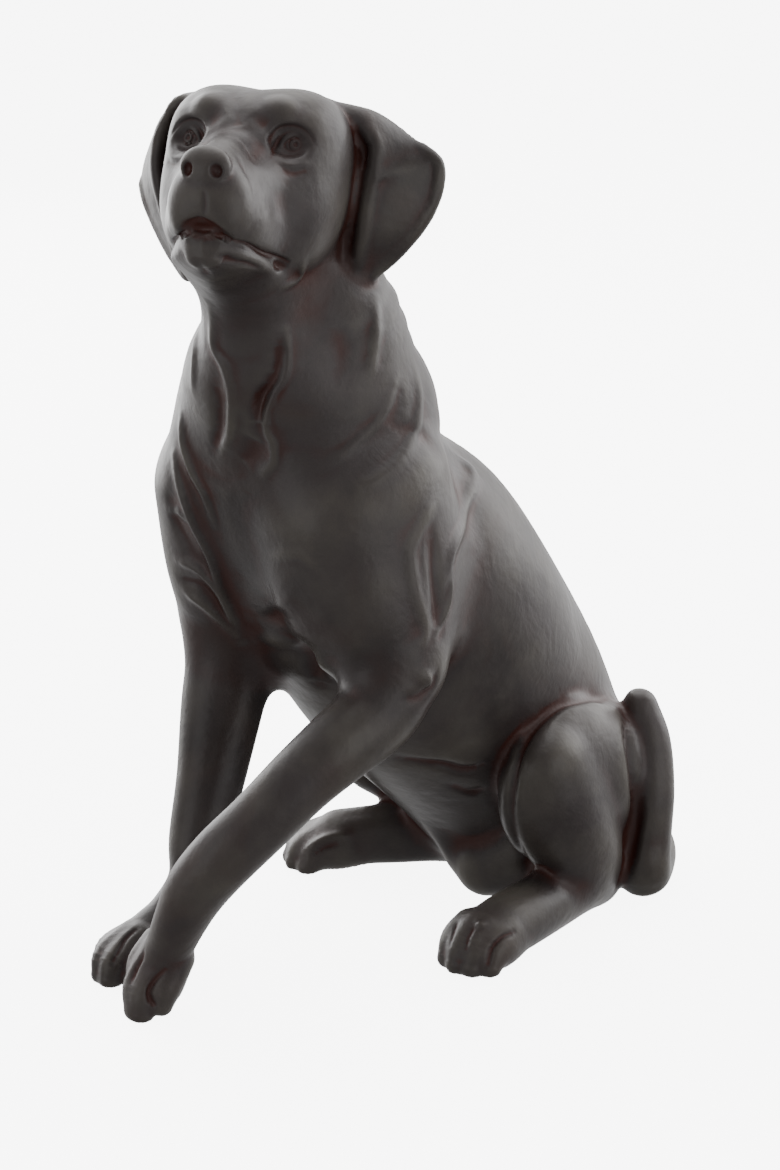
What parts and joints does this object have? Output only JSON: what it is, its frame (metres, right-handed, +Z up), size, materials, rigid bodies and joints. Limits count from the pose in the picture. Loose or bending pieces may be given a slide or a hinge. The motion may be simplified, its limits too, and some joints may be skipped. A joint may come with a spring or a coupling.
{
  "type": "seated retriever dog statue",
  "caption": "Life-size seated retriever dog statue with a dark bronze patina, its head raised and turned, and a foreleg reaching forward",
  "frame": {"origin": "bottom centre of the bounding box, on the ground under the belly", "axes": "+Z up through the top of the head, -Y the way the chest faces, +X the dog's left side"},
  "size_m": [0.3074, 0.5784, 0.7],
  "materials": {
    "dark_bronze_patina": "near-black brown patina with a low waxed gloss, red-brown in the recesses"
  },
  "bodies": {
    "root": {"seated_dog": "dark_bronze_patina"}
  },
  "joints": []
}
